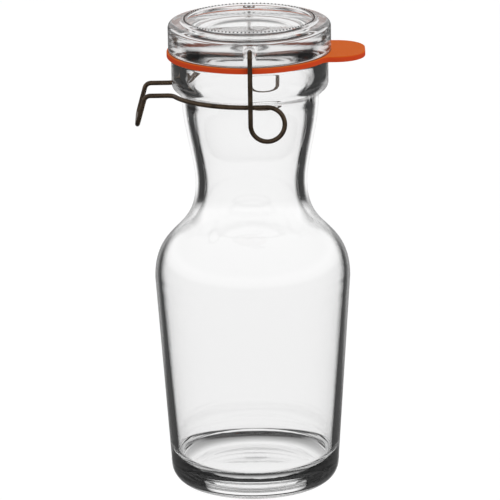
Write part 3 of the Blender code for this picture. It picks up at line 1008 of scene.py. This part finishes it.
# %% The world
DARK_SIDES = ((0.0, 0.03), (0.49, 0.04), (0.53, 0.5), (0.60, 0.9))
SOFT_SIDES = ((0.0, 0.30), (0.5, 0.30), (0.54, 0.95), (0.66, 0.95), (0.75, 0.5), (1.0, 0.6))
DULL_SURFACE_LOSS = 0.45

world = bpy.data.worlds.new("studio")
world.use_nodes = True
bpy.context.scene.world = world
graph = Graph(world.node_tree)
path = graph.add("ShaderNodeLightPath")
reflected = path.other("Glossy Depth") > 0.5
inside_glass = path.other("Transmission Depth") > 0.5
direction = graph.add("ShaderNodeTexCoord").other("Generated")
upward = upward_part(graph, direction) * 0.5 + 0.5
sides = graph.ramp(upward, DARK_SIDES) * inside_glass + graph.ramp(upward, SOFT_SIDES) * (1 - inside_glass)
straight_on = 1 - path.other("Is Diffuse Ray") * DULL_SURFACE_LOSS
strength = reflected * sides + (1 - reflected) * straight_on
background = graph.add("ShaderNodeBackground", None, {"Color": (1, 1, 1, 1), "Strength": strength})
graph.add("ShaderNodeOutputWorld", None, {"Surface": background})
print("world:", len(graph.tree.nodes), "nodes")

# %% [markdown]
# ## The studio's floor
# To the eye the floor is white paper with a soft shadow. Through glass it is drawn apart: just under white,
# so that its far edge shows faintly, and with a painted shadow round the foot, soft and then a dark ring,
# which the heel's glass bends into a thin dark line. Light reflected inside a wall meets a dark floor, but
# for a painted pale patch under the foot that keeps the glass of the foot light. Light that has crossed four
# surfaces or more was reflected on the air side of a wall, and meets the bright floor again.

# %% The floor
FLOOR_RADIUS = 4.0
FLOOR_SEGMENTS = 96
PATCH_RADIUS = 0.12
GLOW = 0.86
DULL_GLOW_LOSS = 0.5
MIRRORED_GLOW_LOSS = 0.81
PAPER_COLOUR = (0.22, 0.22, 0.22, 1)
MOST_SURFACES_INSIDE = 3.5
# UNDER_GLASS paints a shadow round the foot, INSIDE_GLASS a pale patch under it, both by PATCH_RADIUS.
UNDER_GLASS = ((0.0, 1.0), (0.33, 1.0), (0.39, 0.55), (0.425, 0.3), (0.437, 0.03), (0.470, 0.03), (0.49, 1.0))
INSIDE_GLASS = ((0.0, 0.7), (0.26, 0.7), (0.34, 0.01), (1.0, 0.03))
BEHIND_DISTANCES = (0.2, 0.7)
BEHIND_LEVELS = (0.94, 0.98)


def floor_material():
    """White to the eye and through glass, darker for light reflected inside glass, with a soft shadow."""
    material, graph, place = new_material("studio_floor")
    path = graph.add("ShaderNodeLightPath")
    mirrored = path.other("Glossy Depth") > 0.5
    crossed = path.other("Transmission Depth")
    through_glass = crossed > 0.5
    inside_wall = mirrored * through_glass * (crossed < MOST_SURFACES_INSIDE)
    distance = graph.add("ShaderNodeVectorMath", {"operation": "LENGTH"}, {0: place}).other("Value")
    glow = graph.add("ShaderNodeEmission", None, {
        "Strength": GLOW - path.other("Is Diffuse Ray") * DULL_GLOW_LOSS - mirrored * MIRRORED_GLOW_LOSS})
    paper = graph.add("ShaderNodeBsdfDiffuse", None, {"Color": PAPER_COLOUR})
    seen_bare = graph.add("ShaderNodeAddShader", None, {0: glow, 1: paper})
    patch = distance / PATCH_RADIUS
    under = graph.ramp(patch, UNDER_GLASS) * graph.between(distance, *BEHIND_DISTANCES, *BEHIND_LEVELS)
    seen_through = graph.add("ShaderNodeEmission", None, {"Strength": under})
    seen_inside = graph.add("ShaderNodeEmission", None, {"Strength": graph.ramp(patch, INSIDE_GLASS)})
    outside = graph.add("ShaderNodeMixShader", None, {0: through_glass, 1: seen_bare, 2: seen_through})
    surface = graph.add("ShaderNodeMixShader", None, {0: inside_wall, 1: outside, 2: seen_inside})
    graph.add("ShaderNodeOutputMaterial", None, {"Surface": surface})
    return material


floor_shape = bmesh.new()
bmesh.ops.create_circle(floor_shape, cap_ends=True, segments=FLOOR_SEGMENTS, radius=FLOOR_RADIUS)
floor_mesh = bpy.data.meshes.new("studio_floor")
floor_shape.to_mesh(floor_mesh)
floor_shape.free()
floor_mesh.materials.append(floor_material())
floor = link_object("studio_floor", floor_mesh)
print("floor:", 2 * FLOOR_RADIUS, "m wide")

# %% [markdown]
# ## The lamps
# Three square lamps give the rubber and the wire their form, and the floor its shadow: a strong one at the
# front right, a weak one at the front left and one overhead. Neither a reflection nor a look through the
# glass shows them, because a lamp would be a hard square there.

# %% Hang the lamps
LAMP_TARGET = Vector((0, 0, 0.14))


def soft_box(name, place, size, power):
    """A square area lamp that faces the middle of the carafe."""
    data = bpy.data.lights.new(name, "AREA")
    data.size = size
    data.energy = power
    lamp = link_object(name, data)
    lamp.location = place
    lamp.rotation_mode = "QUATERNION"
    lamp.rotation_quaternion = (LAMP_TARGET - Vector(place)).to_track_quat("-Z", "Y")
    lamp.visible_glossy = False
    lamp.visible_transmission = False
    print(name, "gives", power, "watts")


soft_box("key_lamp", (1.2, -1.1, 1.4), size=0.9, power=8.0)
soft_box("fill_lamp", (-1.5, -0.8, 0.9), size=0.9, power=1.0)
soft_box("top_lamp", (0.1, 0.5, 1.9), size=1.0, power=4.0)
